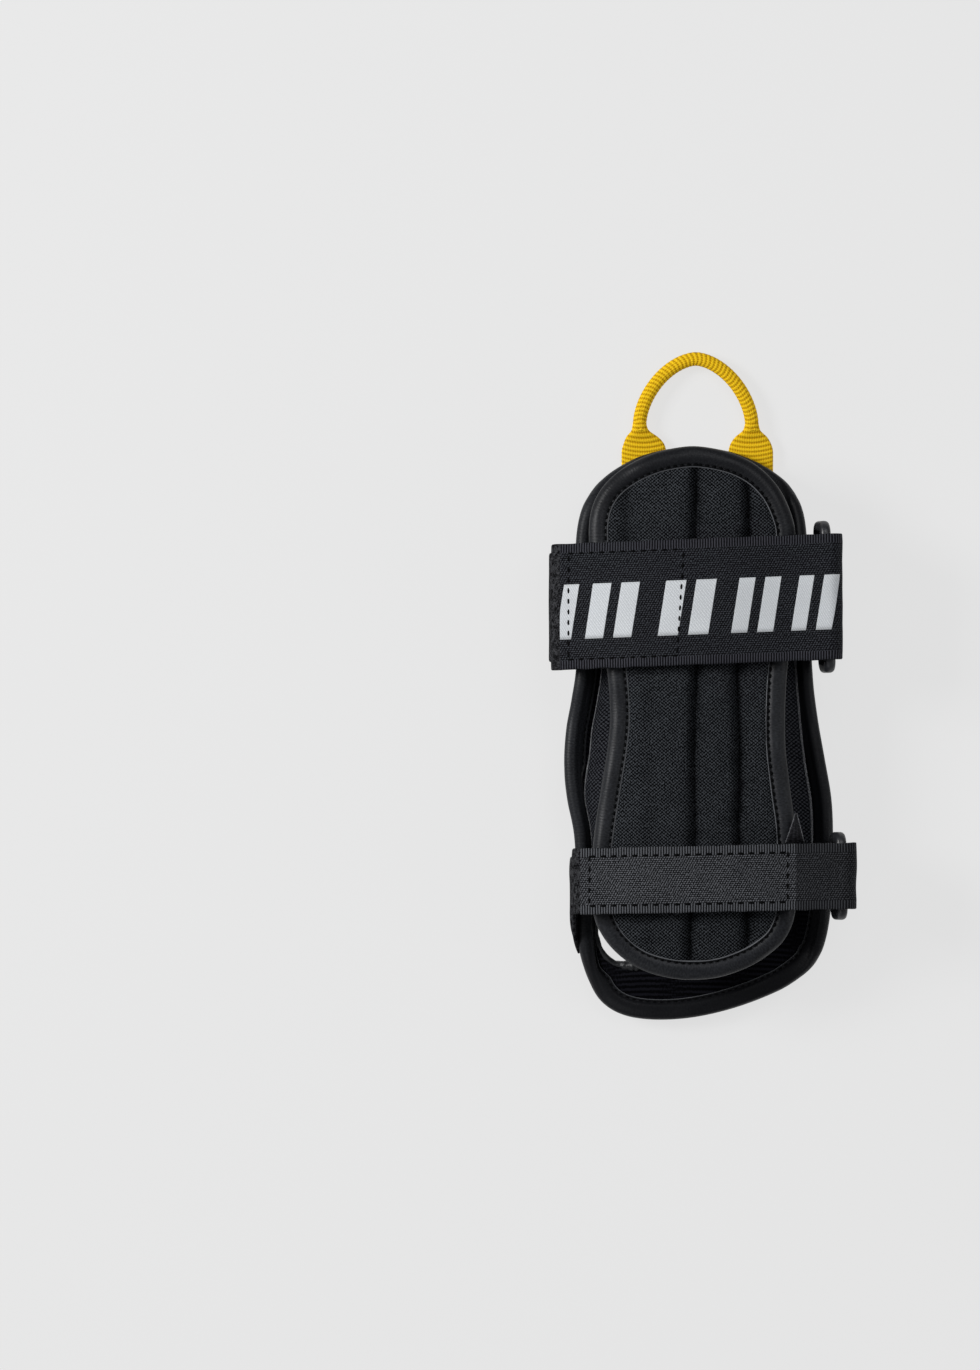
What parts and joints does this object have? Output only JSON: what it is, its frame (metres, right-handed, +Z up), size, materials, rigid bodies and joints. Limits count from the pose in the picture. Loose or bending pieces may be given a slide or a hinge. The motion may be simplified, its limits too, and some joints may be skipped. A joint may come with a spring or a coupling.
{
  "type": "snowboard wrist guard",
  "caption": "Padded fabric wrist guard for a left hand: stiffened palm and back panels joined by mesh sides, a thumb hole, hook-and-loop straps through plastic rings and a webbing pull loop.",
  "frame": {"origin": "centre of the bounding box's bottom face, with the guard lying on its palm side and its pull loop laid out flat", "axes": "+Y points to the forearm end, which has the pull loop, and -Y to the fingers; +X is the little-finger side, where both rings are, and -X the thumb side; +Z is up, from the palm panel to the back panel"},
  "size_m": [0.0938, 0.2021, 0.0388],
  "materials": {
    "shell_mesh": "black coarse knitted mesh over the pads' outer faces",
    "foam": "soft open-cell padding",
    "lining_mesh": "fine black knitted lining",
    "stay_plastic": "springy plastic strip, satin",
    "binding": "smooth black stretch binding with a stitched edge",
    "hole_binding": "soft black synthetic leather, padded and slightly wrinkled",
    "gusset_mesh": "thin black perforated mesh",
    "loop_pile": "black loop pile on a woven backing",
    "strap_weave": "smooth black woven strap backing",
    "hook_tape": "black hook tape",
    "ring_plastic": "black moulded plastic",
    "keeper_webbing": "ribbed black webbing",
    "yellow_webbing": "bright warm yellow woven webbing",
    "label_satin": "blank dark satin label"
  },
  "bodies": {
    "guard": {"palm_shell": "shell_mesh", "palm_foam": "foam", "palm_lining": "lining_mesh", "palm_stay_1": "stay_plastic", "palm_stay_2": "stay_plastic", "palm_stay_3": "stay_plastic", "palm_binding": "binding", "thumb_hole_binding": "hole_binding", "dorsal_shell": "shell_mesh", "dorsal_foam": "foam", "dorsal_lining": "lining_mesh", "dorsal_stay_1": "stay_plastic", "dorsal_stay_2": "stay_plastic", "dorsal_stay_3": "stay_plastic", "dorsal_binding": "binding", "gusset_thumb_side": "gusset_mesh", "gusset_little_finger_side": "gusset_mesh", "forearm_strap_band": "loop_pile", "hand_strap_base": "loop_pile", "hand_ring_keeper": "keeper_webbing", "pull_loop_tab_thumb_side": "yellow_webbing", "pull_loop_tab_little_finger_side": "yellow_webbing", "care_label": "label_satin"},
    "forearm_ring": {"forearm_ring": "ring_plastic"},
    "forearm_flap": {"forearm_strap_flap": "strap_weave", "forearm_hook_patch": "hook_tape"},
    "hand_ring": {"hand_ring": "ring_plastic"},
    "hand_flap": {"hand_strap_flap": "strap_weave", "hand_hook_patch": "hook_tape"},
    "pull_loop": {"pull_loop": "yellow_webbing"}
  },
  "joints": [
    {"name": "forearm_ring_pivot", "type": "hinge", "parent": "guard", "child": "forearm_ring", "pos_m": [0.03605, 0.02704, 0.01966], "axis": [-0.0384, 0.9993, 0], "range_deg": [0, 20]},
    {"name": "forearm_strap_peel", "type": "hinge", "parent": "forearm_ring", "child": "forearm_flap", "pos_m": [0.03792, 0.02711, 0.0303], "axis": [-0.0384, 0.9993, 0], "range_deg": [0, 150]},
    {"name": "hand_ring_pivot", "type": "hinge", "parent": "guard", "child": "hand_ring", "pos_m": [0.04027, -0.05728, 0.01896], "axis": [-0.0209, 0.9998, 0], "range_deg": [0, 20]},
    {"name": "hand_strap_peel", "type": "hinge", "parent": "hand_ring", "child": "hand_flap", "pos_m": [0.04214, -0.05724, 0.0296], "axis": [-0.0209, 0.9998, 0], "range_deg": [0, 150]},
    {"name": "pull_loop_swing", "type": "hinge", "parent": "guard", "child": "pull_loop", "pos_m": [-0.00175, 0.078, 0.002], "axis": [1, 0, 0], "range_deg": [0, 100]}
  ]
}
